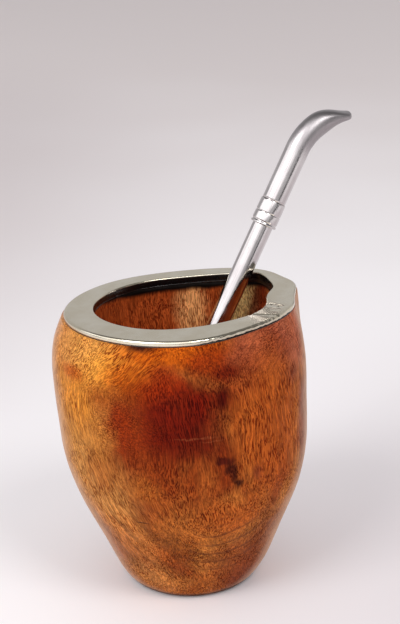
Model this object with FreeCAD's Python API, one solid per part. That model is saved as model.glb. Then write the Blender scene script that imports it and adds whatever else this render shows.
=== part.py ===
import FreeCAD, Part
import math
import os

# A carved wooden mate cup with a flat metal rim bedded in black mastic, and the
# metal drinking straw that leans in it. Millimetres, +Z up, origin at the middle
# of the base, +X to the right and +Y to the back as the cup is shown.

# Cup, outside
cup_height = 101.0
base_round = 0.8
depth_share = 0.97

# The sides bow out and taper to the base. Each row is a share of the height, the
# reach to the left and to the right, and how far the round section has turned into
# the outline of the rim, which closes the form at the top.
side_stations = [
    (0.00, 21.4, 21.8, 0.0),
    (0.04, 25.1, 25.2, 0.0),
    (0.12, 28.8, 29.4, 0.0),
    (0.24, 34.0, 34.3, 0.0),
    (0.38, 39.8, 39.7, 0.0),
    (0.52, 43.2, 42.0, 0.0),
    (0.66, 44.3, 42.2, 0.0),
    (0.80, 44.7, 42.1, 0.2),
    (0.92, 42.5, 40.4, 0.82),
]

# Outline of the rim seen from above. Each row is a direction in degrees from +X, the
# reach of the outer edge, and the width of metal between that edge and the mouth.
rim_outline = [
    (-170, 39.6, 10.2),
    (-140, 38.5, 10.7),
    (-110, 37.2, 11.2),
    (-80, 36.4, 12.2),
    (-50, 34.4, 9.5),
    (-25, 36.3, 8.5),
    (-5, 38.5, 9.4),
    (10, 39.9, 9.9),
    (22, 43.5, 8.8),
    (34, 44.0, 6.4),
    (46, 44.8, 4.5),
    (57, 42.8, 6.8),
    (68, 40.0, 7.9),
    (82, 37.0, 8.1),
    (100, 35.2, 7.6),
    (125, 35.7, 7.8),
    (152, 37.4, 8.8),
]

# Metal rim and its mastic bed
plate_thickness = 1.0
lip_drop = 1.7
lip_thickness = 1.0
skirt_drop = 2.6
skirt_thickness = 0.8
outer_edge_round = 0.5
mouth_edge_round = 0.35
bed_thickness = 0.3
bed_setback = 0.25
band_drop = 4.0
band_thickness = 1.2

# Hollow
floor_thickness = 13.0
hollow_radius = 28.6
hollow_centre_y = 1.0
hollow_corner = 12.0
hollow_corner_angles = (0, 25, 50, 70, 90)
hollow_round_share = 0.45
hollow_opening_shares = (0.35, 0.7, 1.0)

# Straw: how it stands in the cup
straw_lean = 30.0
straw_heading = 26.0
straw_rest_direction = 54.5
rest_clearance = 0.15

# Straw: its tubes, collar and strainer
stem_diameter = 7.5
stem_wall = 0.5
slip_fit = 0.05
mouthpiece_wall = 0.5
bend_above_rim = 48.8
bend_radius = 19.6
bend_angle = 60.0
tip_length = 4.4
tip_thickness = 2.7
tip_corner = 2.8
tip_squareness = 0.8
press_start = 11.4
mouthpiece_sections = 13
ferrule_above_rim = 19.8
ferrule_length = 9.1
ferrule_wall = 0.95
foot_bead_length = 0.9
groove_width = 0.5
groove_depth = 0.3
groove_above_foot = 4.4
barrel_inset = 0.1
collar_inset = 0.15
stem_engagement = 7.0
filter_socket = 8.0
filter_length = 38.0
filter_width = 14.0
filter_thickness = 8.2
filter_wall = 0.5
filter_neck_share = 0.9
filter_hole = 1.3
filter_hole_pitch = 2.9
filter_hole_rows = 7
filter_hole_columns = 3
filter_holes_share = 0.45

# Oval sections of the strainer, from its shoulder to its tip. Each row is a share of its
# length above the tip, and shares of its greatest thickness and width there.
filter_stations = [
    (0.70, 1.024, 0.86),
    (0.45, 1.00, 1.00),
    (0.20, 0.86, 0.82),
    (0.06, 0.60, 0.50),
    (0.00, 0.30, 0.25),
]

# Sizes that follow from the ones above
plate_under = cup_height - plate_thickness
lip_bottom = cup_height - lip_drop
ledge_height = lip_bottom - bed_thickness
wood_top = plate_under - bed_thickness
skirt_bottom = cup_height - skirt_drop
band_bottom = cup_height - band_drop
core_inset = lip_thickness + bed_thickness
far = 2 * cup_height
seat_step = 0.002
stem_radius = stem_diameter / 2
mouthpiece_radius = stem_radius + slip_fit + mouthpiece_wall
mouthpiece_diameter = 2 * mouthpiece_radius
ferrule_radius = stem_radius + slip_fit + ferrule_wall
ferrule_top = ferrule_above_rim + ferrule_length
rim_mean_reach = sum(row[1] for row in rim_outline) / len(rim_outline)


def vector(x, y, z):
    return FreeCAD.Vector(x, y, z)


def eased(share):
    share = min(max(share, 0.0), 1.0)
    return share * share * (3 - 2 * share)


def closed_spline(points):
    curve = Part.BSplineCurve()
    curve.interpolate(Points=points, PeriodicFlag=True)
    return curve


def spline_wire(points):
    return Part.Wire([closed_spline(points).toShape()])


def smooth_loft(wires):
    return Part.makeLoft(wires, True, False)


def slab(low, high):
    return Part.makeBox(2 * far, 2 * far, high - low, vector(-far, -far, low))


# Rim outline, and copies of it moved square to itself

def plan_curve(reaches):
    points = []
    for row, reach in zip(rim_outline, reaches):
        angle = math.radians(row[0])
        points.append(vector(reach * math.cos(angle), reach * math.sin(angle), 0))
    return closed_spline(points)


outer_edge = plan_curve([row[1] for row in rim_outline])
mouth_edge = plan_curve([row[1] - row[2] for row in rim_outline])


def moved_outline(curve, outward, height, count=34):
    first = curve.FirstParameter
    step = (curve.LastParameter - first) / count
    points = []
    for index in range(count):
        place = curve.value(first + index * step)
        along = curve.tangent(first + index * step)[0]
        points.append(vector(place.x + outward * along.y, place.y - outward * along.x, height))
    return spline_wire(points)


def prism(curve, outward, low, high):
    return Part.Face(moved_outline(curve, outward, low)).extrude(vector(0, 0, high - low))


# Wooden body

def side_section(height, left, right, turned):
    centre = (right - left) / 2
    reach = (right + left) / 2
    depth = depth_share + (1 - depth_share) * turned
    points = []
    for direction, rim_reach, _ in rim_outline:
        angle = math.radians(direction)
        form = reach * (1 + turned * (rim_reach / rim_mean_reach - 1))
        points.append(vector(centre + form * math.cos(angle), depth * form * math.sin(angle), height))
    return spline_wire(points)


def outside_form():
    sections = [side_section(row[0] * cup_height, *row[1:]) for row in side_stations]
    sections.append(side_section(cup_height, rim_mean_reach, rim_mean_reach, 1.0))
    return smooth_loft(sections)


def hollow_section(height, radius, turned):
    points = []
    for direction, rim_reach, land in rim_outline:
        angle = math.radians(direction)
        mouth = rim_reach - land + bed_setback
        x = radius * math.cos(angle) * (1 - turned) + mouth * math.cos(angle) * turned
        y = (hollow_centre_y + radius * math.sin(angle)) * (1 - turned)
        points.append(vector(x, y + mouth * math.sin(angle) * turned, height))
    return spline_wire(points)


def hollow_form():
    # A rounded bottom, a nearly straight round wall, and an upper part that opens
    # into the mouth with its lobe at the back right.
    sections = []
    for degrees in hollow_corner_angles:
        angle = math.radians(degrees)
        radius = hollow_radius - hollow_corner * (1 - math.sin(angle))
        sections.append(hollow_section(floor_thickness + hollow_corner * (1 - math.cos(angle)), radius, 0.0))
    round_to = hollow_round_share * cup_height
    sections.append(hollow_section(round_to, hollow_radius, 0.0))
    for share in hollow_opening_shares:
        height = round_to + share * (band_bottom - round_to)
        sections.append(hollow_section(height, hollow_radius, eased(share)))
    sections.append(hollow_section(cup_height, hollow_radius, 1.0))
    return smooth_loft(sections)


def cup_body(outside, hollow):
    body = outside.cut(hollow)
    body = body.cut(slab(wood_top, far))
    ledge = slab(ledge_height, far).cut(prism(outer_edge, -core_inset, 0, far))
    body = body.cut(ledge).cut(prism(mouth_edge, band_thickness, band_bottom, cup_height))
    base_edges = [edge for edge in body.Edges if edge.BoundBox.ZMax < base_round / 10]
    return body.makeFillet(base_round, base_edges)


# Metal rim

def rim_ring():
    plate = prism(outer_edge, 0, lip_bottom, cup_height)
    plate = plate.cut(prism(outer_edge, -lip_thickness, lip_bottom, plate_under))
    skirt = prism(mouth_edge, skirt_thickness, skirt_bottom, plate_under)
    ring = plate.fuse(skirt).cut(prism(mouth_edge, 0, skirt_bottom, cup_height))
    return rounded_rim(ring.removeSplitter())


def top_edge(ring, chosen):
    on_top = [edge for edge in ring.Edges if edge.BoundBox.ZMin > cup_height - plate_thickness / 10]
    return chosen(on_top, key=lambda edge: edge.Length)


def rounded_rim(ring):
    ring = ring.makeFillet(outer_edge_round, [top_edge(ring, max)])
    return ring.makeFillet(mouth_edge_round, [top_edge(ring, min)])


# Black mastic between the rim and the wood

def rim_bed(hollow):
    under_lip = prism(outer_edge, 0, ledge_height, lip_bottom)
    under_plate = prism(outer_edge, -lip_thickness, lip_bottom, plate_under)
    inner_band = prism(mouth_edge, band_thickness, band_bottom, plate_under)
    bed = under_lip.fuse([under_plate, inner_band])
    core = prism(outer_edge, -core_inset, ledge_height, wood_top)
    bed = bed.cut(core.cut(prism(mouth_edge, band_thickness, ledge_height, wood_top)))
    bed = bed.cut(prism(mouth_edge, skirt_thickness, skirt_bottom, cup_height))
    return bed.cut(hollow).removeSplitter()


# Straw. Its pieces are made standing up, with their axis on Z and zero where the axis
# passes the height of the rim. It bends over towards +X and is pressed flat there.

def turned_piece(outline):
    # A solid of revolution from (radius, height) corners, with the axis as its far side.
    points = [vector(radius, 0, height) for radius, height in outline]
    face = Part.Face(Part.makePolygon(points + points[:1]))
    return face.revolve(vector(0, 0, 0), vector(0, 0, 1), 360)


def tube(radius, wall, low, high):
    corners = [(radius - wall, low), (radius, low), (radius, high), (radius - wall, high)]
    return turned_piece(corners)


def oval(centre, thick_way, thickness, width, squareness, count=12):
    # An oval section across the tube: from a circle to a flattened, squarer form.
    points = []
    for index in range(count):
        angle = 2 * math.pi * index / count
        across = math.copysign(abs(math.cos(angle)) ** (2 / squareness), math.cos(angle))
        side = math.copysign(abs(math.sin(angle)) ** (2 / squareness), math.sin(angle))
        points.append(centre + thick_way * (across * thickness / 2) + vector(0, side * width / 2, 0))
    return spline_wire(points)


def bend_place(run):
    # A point on the axis, by its run past the start of the bend, and the direction in
    # the plane of the bend that is square to the axis there.
    turn = min(max(run / bend_radius, 0.0), math.radians(bend_angle))
    straight = run - bend_radius * turn
    x = bend_radius * (1 - math.cos(turn)) + straight * math.sin(turn)
    z = bend_above_rim + bend_radius * math.sin(turn) + straight * math.cos(turn)
    return vector(x, 0, z), vector(math.cos(turn), 0, -math.sin(turn))


def mouthpiece_form(inset):
    first = ferrule_top - bend_above_rim
    last = bend_radius * math.radians(bend_angle) + tip_length
    sections = []
    for index in range(mouthpiece_sections):
        run = first + (last - first) * index / (mouthpiece_sections - 1)
        pressed = eased((run - press_start) / (last - press_start))
        thickness = mouthpiece_diameter - (mouthpiece_diameter - tip_thickness) * pressed
        centre, thick_way = bend_place(run)
        sections.append(oval(
            centre, thick_way, thickness - 2 * inset, mouthpiece_diameter - 2 * inset,
            2.0 + tip_squareness * pressed,
        ))
    return smooth_loft(sections)


def tip_corners():
    # What rounds the two corners of the flat tip, seen from above it.
    end, thick_way = bend_place(bend_radius * math.radians(bend_angle) + tip_length)
    frame = FreeCAD.Placement(end, FreeCAD.Rotation(vector(0, 1, 0), bend_angle))
    corners = []
    for side in (-1, 1):
        centre_y = side * (mouthpiece_radius - tip_corner)
        start = vector(-mouthpiece_radius, min(centre_y, centre_y + 2 * side * tip_corner), -tip_corner)
        block = Part.makeBox(mouthpiece_diameter, 2 * tip_corner, 2 * tip_corner, start)
        round_start = vector(-mouthpiece_radius, centre_y, -tip_corner)
        disc = Part.makeCylinder(tip_corner, mouthpiece_diameter, round_start, vector(1, 0, 0))
        corner = block.cut(disc)
        corner.Placement = frame
        corners.append(corner)
    return corners


def straw_mouthpiece():
    piece = mouthpiece_form(0.0).cut(mouthpiece_form(mouthpiece_wall))
    return piece.cut(tip_corners())


def straw_ferrule():
    bore = stem_radius + slip_fit
    foot = ferrule_above_rim
    bead_top = foot + foot_bead_length
    outline = [
        (bore, foot),
        (ferrule_radius - groove_depth, foot),
        (ferrule_radius, foot + groove_depth),
        (ferrule_radius, bead_top),
        (ferrule_radius - groove_depth, bead_top),
        (ferrule_radius - groove_depth, bead_top + groove_width),
        (ferrule_radius - barrel_inset, bead_top + groove_width),
        (ferrule_radius - barrel_inset, foot + groove_above_foot),
        (ferrule_radius - groove_depth, foot + groove_above_foot),
        (ferrule_radius - groove_depth, foot + groove_above_foot + groove_width / 2),
        (ferrule_radius - collar_inset, foot + groove_above_foot + groove_width / 2),
        (ferrule_radius - collar_inset, ferrule_top - groove_width / 2),
        (ferrule_radius - groove_depth, ferrule_top),
        (bore, ferrule_top),
    ]
    return turned_piece(outline)


def straw_stem(foot):
    return tube(stem_radius, stem_wall, foot, ferrule_top + stem_engagement)


def filter_form(foot, inset):
    # The strainer and its round socket: it swells sideways, then closes to a blunt tip.
    neck = 2 * (stem_radius + slip_fit + filter_wall)
    neck_low = filter_neck_share * filter_length
    neck_high = filter_length + filter_socket
    neck_stations = [
        neck_high,
        (neck_high + filter_length) / 2,
        filter_length,
        (filter_length + neck_low) / 2,
        neck_low,
    ]
    stages = [(above, neck, neck) for above in neck_stations]
    for share, thick, wide in filter_stations:
        stages.append((max(share * filter_length, inset), thick * filter_thickness, wide * filter_width))
    sections = []
    for above, thickness, width in stages:
        centre = vector(0, 0, foot + above)
        sections.append(oval(centre, vector(1, 0, 0), thickness - 2 * inset, width - 2 * inset, 2.0))
    return smooth_loft(sections)


def filter_holes(foot):
    middle = foot + filter_holes_share * filter_length
    holes = []
    for row in range(filter_hole_rows):
        for column in range(filter_hole_columns):
            height = middle + (row - (filter_hole_rows - 1) / 2) * filter_hole_pitch
            side = (column - (filter_hole_columns - 1) / 2) * filter_hole_pitch
            start = vector(-filter_thickness, side, height)
            holes.append(Part.makeCylinder(filter_hole / 2, 2 * filter_thickness, start, vector(1, 0, 0)))
    return holes


def straw_filter(foot):
    return filter_form(foot, 0.0).cut(filter_form(foot, filter_wall)).cut(filter_holes(foot))


# How the straw stands: it leans on the mouth's inner edge, and its foot on the wood

def straw_placement():
    lean = math.radians(straw_lean)
    heading = math.radians(straw_heading)
    axis = vector(math.sin(lean) * math.cos(heading), math.sin(lean) * math.sin(heading), math.cos(lean))
    edge = mouth_edge.parameter(mouth_at(straw_rest_direction))
    place = mouth_edge.value(edge)
    along = mouth_edge.tangent(edge)[0]
    away = along.cross(axis)
    away.normalize()
    if away.dot(place) < 0:
        away = away * -1
    start = vector(place.x, place.y, cup_height) - away * (stem_radius + rest_clearance)
    start = start + axis * ((cup_height - start.z) / axis.z)
    turn = FreeCAD.Rotation(vector(0, 0, 1), straw_heading).multiply(
        FreeCAD.Rotation(vector(0, 1, 0), straw_lean)
    )
    return FreeCAD.Placement(start, turn)


def mouth_at(direction):
    angle = math.radians(direction)
    ray = Part.makeLine(vector(0, 0, 0), vector(far * math.cos(angle), far * math.sin(angle), 0))
    return ray.distToShape(mouth_edge.toShape())[1][0][0]


def foot_depth(hollow, placement):
    # How far down the axis the strainer goes before its tip rests on the wood. The search
    # runs from where the axis leaves the hollow up to where the whole strainer is clear.
    start = placement.Base
    below = placement.multVec(vector(0, 0, -far))
    low = -hollow.common(Part.makeLine(start, below)).Length
    high = low + filter_length
    wall = hollow.Shells[0]
    trial = filter_form(0.0, 0.0)
    while high - low > seat_step:
        middle = (high + low) / 2
        tip = placement.multVec(vector(0, 0, middle))
        piece = trial.copy()
        piece.translate(vector(0, 0, middle))
        piece.Placement = placement.multiply(piece.Placement)
        if piece.distToShape(wall)[0] > rest_clearance and hollow.isInside(tip, seat_step, True):
            high = middle
        else:
            low = middle
    return high


# The whole cup with its straw

def build_pieces():
    outside = outside_form()
    hollow = hollow_form()
    placement = straw_placement()
    foot = foot_depth(hollow, placement)
    cup = {
        "cup_body": cup_body(outside, hollow),
        "rim_ring": rim_ring(),
        "rim_bed": rim_bed(hollow),
    }
    straw = {
        "straw_mouthpiece": straw_mouthpiece(),
        "straw_ferrule": straw_ferrule(),
        "straw_stem": straw_stem(foot + filter_length),
        "straw_filter": straw_filter(foot),
    }
    for piece in straw.values():
        piece.Placement = placement.multiply(piece.Placement)
    return {**cup, **straw}


os.makedirs("parts", exist_ok=True)
for name, shape in build_pieces().items():
    shape.exportStep("parts/" + name + ".step")
    print(name, shape.isValid(), len(shape.Solids), round(shape.Volume, 1))
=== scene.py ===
import bpy
import math
import numpy as np
from mathutils import Matrix, Vector, noise
from mathutils.bvhtree import BVHTree


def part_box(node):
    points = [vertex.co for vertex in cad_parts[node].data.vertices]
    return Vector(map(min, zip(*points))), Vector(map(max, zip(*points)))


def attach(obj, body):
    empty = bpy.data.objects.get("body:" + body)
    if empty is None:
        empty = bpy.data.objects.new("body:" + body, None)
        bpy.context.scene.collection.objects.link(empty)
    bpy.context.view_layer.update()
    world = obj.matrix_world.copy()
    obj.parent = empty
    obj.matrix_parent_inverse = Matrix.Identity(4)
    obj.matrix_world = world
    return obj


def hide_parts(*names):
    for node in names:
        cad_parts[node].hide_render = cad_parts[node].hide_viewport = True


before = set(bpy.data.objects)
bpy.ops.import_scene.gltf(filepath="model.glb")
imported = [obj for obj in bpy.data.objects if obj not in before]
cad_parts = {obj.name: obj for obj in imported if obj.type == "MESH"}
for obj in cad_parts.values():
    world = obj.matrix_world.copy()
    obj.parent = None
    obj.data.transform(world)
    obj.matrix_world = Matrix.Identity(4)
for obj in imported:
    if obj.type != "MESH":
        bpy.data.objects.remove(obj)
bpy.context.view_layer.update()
scene = bpy.context.scene
mm = 0.001
# Rays from outside start this far from the cup's axis, in metres
farOut = 0.12


# Shared helpers

def nodePoints(node):
    return np.array([vertex.co[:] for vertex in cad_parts[node].data.vertices]) / mm


def cadSurface(node):
    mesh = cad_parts[node].data
    points = [vertex.co.copy() for vertex in mesh.vertices]
    return BVHTree.FromPolygons(points, [tuple(face.vertices) for face in mesh.polygons])


def roundAngles(count):
    return np.linspace(0.0, 2 * math.pi, count, endpoint=False)


def reachOut(surface, height, angles, middle=(0.0, 0.0), fromOutside=True):
    # Distance from a middle point to the surface in each direction, in millimetres
    reaches = []
    start = Vector((middle[0] * mm, middle[1] * mm, height * mm))
    for angle in angles:
        way = Vector((math.cos(angle), math.sin(angle), 0.0))
        if fromOutside:
            hit = surface.ray_cast(start + way * farOut, -way)[0]
        else:
            hit = surface.ray_cast(start, way)[0]
        reaches.append((hit - start).length / mm if hit else np.nan)
    return fillGaps(np.array(reaches))


def fillGaps(values):
    known = np.flatnonzero(~np.isnan(values))
    return np.interp(np.arange(len(values)), known, values[known], period=len(values))


def smoothRound(values, width):
    # Gaussian mean round a closed row of values
    reach = int(3 * width)
    steps = np.arange(-reach, reach + 1)
    weights = np.exp(-0.5 * (steps / width) ** 2)
    weights /= weights.sum()
    return sum(weight * np.roll(values, step, axis=0) for weight, step in zip(weights, steps))


def planRow(angles, reaches, height, middle=(0.0, 0.0)):
    row = np.zeros((len(angles), 3))
    row[:, 0] = middle[0] + reaches * np.cos(angles)
    row[:, 1] = middle[1] + reaches * np.sin(angles)
    row[:, 2] = height
    return row


def outwardOf(row):
    # Unit normals of a closed plan row, pointing away from its inside
    along = np.roll(row, -1, axis=0) - np.roll(row, 1, axis=0)
    out = np.stack([along[:, 1], -along[:, 0]], axis=1)
    return out / np.linalg.norm(out, axis=1)[:, None]


def movedRow(row, outward, height):
    moved = row.copy()
    moved[:, :2] += outwardOf(row) * np.reshape(outward, (-1, 1))
    moved[:, 2] = height
    return moved


def eased(share):
    share = np.clip(share, 0.0, 1.0)
    return share * share * (3 - 2 * share)


def smoothNoise(points, size, seed=0.0, octaves=1):
    # Noise in about -1..1 at points in millimetres, with bumps of the given size
    shift = Vector((seed * 17.3, seed * 5.1, seed * 9.7))
    scale = 1.0 / size
    if octaves == 1:
        return np.array([noise.noise(Vector(point) * scale + shift) for point in points])
    return np.array([
        noise.fractal(Vector(point) * scale + shift, 1.0, 2.0, octaves) for point in points
    ])


def gridMesh(name, rows, closedAcross=False, startPole=None, endPole=None):
    # Quads between closed rows of points, in millimetres, with poles or a joined end
    count = len(rows[0])
    points = np.concatenate(rows)
    faces = []
    last = len(rows) if closedAcross else len(rows) - 1
    for row in range(last):
        here = row * count
        there = ((row + 1) % len(rows)) * count
        for column in range(count):
            following = (column + 1) % count
            faces.append((here + column, here + following, there + following, there + column))
    if startPole is not None:
        points = np.vstack([points, startPole])
        pole = len(points) - 1
        faces += [(pole, (column + 1) % count, column) for column in range(count)]
    if endPole is not None:
        points = np.vstack([points, endPole])
        pole = len(points) - 1
        base = (len(rows) - 1) * count
        faces += [(pole, base + column, base + (column + 1) % count) for column in range(count)]
    mesh = bpy.data.meshes.new(name)
    mesh.from_pydata((points * mm).tolist(), [], faces)
    mesh.validate()
    mesh.shade_smooth()
    piece = bpy.data.objects.new(name, mesh)
    scene.collection.objects.link(piece)
    return piece


def keepRowValues(piece, name, values, columns):
    # A value for each vertex, the same all round each row, which the material reads
    points = np.zeros(len(piece.data.vertices), dtype=np.float32)
    rows = np.repeat(np.array(values, dtype=np.float32), columns)
    points[:len(rows)] = rows
    points[len(rows):len(rows) + 1] = values[0]
    points[len(rows) + 1:] = values[-1]
    piece.data.attributes.new(name, "FLOAT", "POINT").data.foreach_set("value", points)


def readValue(tree, name):
    return addNode(tree, "ShaderNodeAttribute", attribute_name=name).outputs["Fac"]


def turnOutwards(piece):
    # The volume's sign tells whether the faces look out
    mesh = piece.data
    mesh.calc_loop_triangles()
    points = np.zeros(len(mesh.vertices) * 3)
    mesh.vertices.foreach_get("co", points)
    points = points.reshape(-1, 3)
    corners = np.zeros(len(mesh.loop_triangles) * 3, dtype=np.int32)
    mesh.loop_triangles.foreach_get("vertices", corners)
    a, b, c = (points[corners.reshape(-1, 3)[:, index]] for index in range(3))
    if np.einsum("ij,ij->i", a, np.cross(b, c)).sum() < 0:
        mesh.flip_normals()
    return piece


def finishPiece(piece, material, slot, *nodes):
    piece.data.materials.clear()
    piece.data.materials.append(material)
    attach(piece, "root")
    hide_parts(*nodes)


def addNode(tree, kind, inputs=None, **settings):
    # Each input is a socket to join or a value to set
    node = tree.nodes.new(kind)
    for name, value in settings.items():
        setattr(node, name, value)
    for name, value in (inputs or {}).items():
        if isinstance(value, bpy.types.NodeSocket):
            tree.links.new(value, node.inputs[name])
        else:
            node.inputs[name].default_value = value
    return node


def mathNode(tree, operation, first, second=0.0):
    return addNode(tree, "ShaderNodeMath", {0: first, 1: second}, operation=operation).outputs[0]


def times(tree, first, second):
    return mathNode(tree, "MULTIPLY", first, second)


def vectorNode(tree, operation, first, second=(0.0, 0.0, 0.0)):
    into = "Scale" if operation == "SCALE" else 1
    node = addNode(tree, "ShaderNodeVectorMath", {0: first, into: second}, operation=operation)
    return node.outputs["Value" if operation == "LENGTH" else "Vector"]


def heightOf(tree, place):
    return addNode(tree, "ShaderNodeSeparateXYZ", {0: place}).outputs[2]


def rampTo(tree, value, low, high, toLow=0.0, toHigh=1.0):
    inputs = {"Value": value, "From Min": low, "From Max": high, "To Min": toLow, "To Max": toHigh}
    ramp = addNode(tree, "ShaderNodeMapRange", inputs, interpolation_type="SMOOTHSTEP")
    return ramp.outputs["Result"]


def noiseNode(tree, place, scale, detail=2.0, roughness=0.5, colour=False):
    inputs = {"Vector": place, "Scale": scale, "Detail": detail, "Roughness": roughness}
    return addNode(tree, "ShaderNodeTexNoise", inputs).outputs["Color" if colour else "Fac"]


def mixValue(tree, factor, first, second):
    return addNode(tree, "ShaderNodeMix", {0: factor, 2: first, 3: second}).outputs[0]


def mixColour(tree, factor, first, second, blend="MIX"):
    inputs = {0: factor, 6: first, 7: second}
    return addNode(tree, "ShaderNodeMix", inputs, data_type="RGBA", blend_type=blend).outputs[2]


def dimmed(tree, factor, colour, level):
    # The colour times a plain level, which may also be over 1
    grey = addNode(tree, "ShaderNodeCombineColor", {0: level, 1: level, 2: level}).outputs[0]
    return mixColour(tree, factor, colour, grey, "MULTIPLY")


def shade(red, green, blue):
    # A colour as it looks on a screen, 0 to 255, to the values that shaders use
    values = []
    for part in (red, green, blue):
        part /= 255
        values.append(part / 12.92 if part <= 0.04045 else ((part + 0.055) / 1.055) ** 2.4)
    return (*values, 1.0)


def newGroup(name, inputs, outputs):
    # A shader node group. An input's kind follows its default, an output's kind is given.
    group = bpy.data.node_groups.new(name, "ShaderNodeTree")
    for label, value in inputs.items():
        kind = "NodeSocketVector" if isinstance(value, tuple) else "NodeSocketFloat"
        group.interface.new_socket(label, in_out="INPUT", socket_type=kind).default_value = value
    for label, kind in outputs.items():
        group.interface.new_socket(label, in_out="OUTPUT", socket_type=kind)
    given = group.nodes.new("NodeGroupInput").outputs
    return group, given, group.nodes.new("NodeGroupOutput").inputs


def useGroup(tree, group, inputs):
    return addNode(tree, "ShaderNodeGroup", inputs, node_tree=group).outputs


def newMaterial(name, settings):
    # A material with its shader and with object coordinates in millimetres
    material = bpy.data.materials.new(name)
    material.use_nodes = True
    tree = material.node_tree
    shader = tree.nodes["Principled BSDF"]
    for label, value in settings.items():
        shader.inputs[label].default_value = value
    coordinates = tree.nodes.new("ShaderNodeTexCoord").outputs["Object"]
    return material, tree, shader, vectorNode(tree, "SCALE", coordinates, 1.0 / mm)


def joinNodes(tree, shader, colour, roughness=None, height=None, depth=0.1):
    tree.links.new(colour, shader.inputs["Base Color"])
    if roughness is not None:
        tree.links.new(roughness, shader.inputs["Roughness"])
    if height is not None:
        inputs = {"Height": height, "Distance": depth * mm, "Strength": 1.0}
        bump = addNode(tree, "ShaderNodeBump", inputs)
        tree.links.new(bump.outputs["Normal"], shader.inputs["Normal"])


# Shared effects, used by several materials

def makeWanderGroup():
    # Moves the place it is given by soft noise, so that patterns bend
    group, given, out = newGroup(
        "wanderingPlace",
        {"Place": (0.0, 0.0, 0.0), "Size": 20.0, "Amount": 4.0, "Seed": 0.0},
        {"Place": "NodeSocketVector"},
    )
    shift = addNode(group, "ShaderNodeCombineXYZ", {index: given["Seed"] for index in range(3)})
    start = vectorNode(group, "ADD", given["Place"], shift.outputs[0])
    cloud = noiseNode(group, start, mathNode(group, "DIVIDE", 1.0, given["Size"]), 1.0, colour=True)
    centred = vectorNode(group, "SUBTRACT", cloud, (0.5, 0.5, 0.5))
    bend = vectorNode(group, "SCALE", centred, times(group, given["Amount"], 2.0))
    group.links.new(vectorNode(group, "ADD", given["Place"], bend), out["Place"])
    return group


def makePatchGroup():
    # A soft oval patch round a centre
    group, given, out = newGroup(
        "softPatch",
        {
            "Place": (0.0, 0.0, 0.0), "Centre": (0.0, 0.0, 0.0),
            "Reach": (10.0, 10.0, 10.0), "Softness": 0.5,
        },
        {"Mask": "NodeSocketFloat"},
    )
    offset = vectorNode(group, "SUBTRACT", given["Place"], given["Centre"])
    distance = vectorNode(group, "LENGTH", vectorNode(group, "DIVIDE", offset, given["Reach"]))
    low = mathNode(group, "SUBTRACT", 1.0, given["Softness"])
    high = mathNode(group, "ADD", 1.0, given["Softness"])
    group.links.new(rampTo(group, distance, low, high, 1.0, 0.0), out["Mask"])
    return group


def drawnOut(tree, place, turn, length):
    # Turned and pressed together along one way, so that a noise read here is drawn out
    inputs = {"Vector": place, "Rotation": turn}
    turned = addNode(tree, "ShaderNodeVectorRotate", inputs, rotation_type="EULER_XYZ").outputs[0]
    shorter = mathNode(tree, "DIVIDE", 1.0, length)
    squeeze = addNode(tree, "ShaderNodeCombineXYZ", {0: 1.0, 1: 1.0, 2: shorter}).outputs[0]
    return vectorNode(tree, "MULTIPLY", turned, squeeze)


def makeGrainGroup():
    # Wood cut from a solid block: pores and streaks drawn out along the fibres
    group, given, out = newGroup(
        "fibreGrain",
        {"Place": (0.0, 0.0, 0.0), "Turn": (0.0, 0.0, 0.0), "Fibre Length": 6.0,
         "Pore Size": 0.32, "Pore Share": 0.72},
        {"Pores": "NodeSocketFloat", "Streaks": "NodeSocketFloat", "Fleck": "NodeSocketFloat"},
    )
    drawn = drawnOut(group, given["Place"], given["Turn"], given["Fibre Length"])
    poreScale = mathNode(group, "DIVIDE", 1.0, given["Pore Size"])
    low = mathNode(group, "SUBTRACT", 0.72, times(group, given["Pore Share"], 0.3))
    high = mathNode(group, "ADD", low, 0.06)
    pores = noiseNode(group, drawn, poreScale, 1.5, 0.55)
    group.links.new(rampTo(group, pores, low, high), out["Pores"])
    longer = vectorNode(group, "MULTIPLY", drawn, (1.0, 1.0, 0.35))
    streaks = noiseNode(group, longer, times(group, poreScale, 0.45), 3.0, 0.6)
    group.links.new(streaks, out["Streaks"])
    fleck = noiseNode(group, drawn, times(group, poreScale, 1.5), 1.0)
    group.links.new(fleck, out["Fleck"])
    return group


def makeScuffGroup():
    # Fine handling marks: hairlines in one direction, small soft specks, and a cloud
    group, given, out = newGroup(
        "fineScuffs",
        {"Place": (0.0, 0.0, 0.0), "Turn": (0.0, 0.0, 0.0), "Length": 20.0, "Width": 0.12,
         "Speck Size": 0.5},
        {"Hairlines": "NodeSocketFloat", "Specks": "NodeSocketFloat", "Cloud": "NodeSocketFloat"},
    )
    drawn = drawnOut(group, given["Place"], given["Turn"], given["Length"])
    lines = noiseNode(group, drawn, mathNode(group, "DIVIDE", 1.0, given["Width"]), 2.0, 0.6)
    group.links.new(rampTo(group, lines, 0.45, 0.75), out["Hairlines"])
    speckScale = mathNode(group, "DIVIDE", 1.0, given["Speck Size"])
    specks = noiseNode(group, given["Place"], speckScale, 1.0, 0.4)
    group.links.new(rampTo(group, specks, 0.74, 0.8), out["Specks"])
    group.links.new(noiseNode(group, given["Place"], 0.12, 3.0, 0.6), out["Cloud"])
    return group


wanderGroup = makeWanderGroup()
patchGroup = makePatchGroup()
grainGroup = makeGrainGroup()
scuffGroup = makeScuffGroup()


def wander(tree, place, size, amount, seed):
    inputs = {"Place": place, "Size": size, "Amount": amount, "Seed": seed}
    return useGroup(tree, wanderGroup, inputs)["Place"]


def patchMask(tree, place, centre, reach, softness=0.5):
    inputs = {"Place": place, "Centre": centre, "Reach": reach, "Softness": softness}
    return useGroup(tree, patchGroup, inputs)["Mask"]


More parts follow.
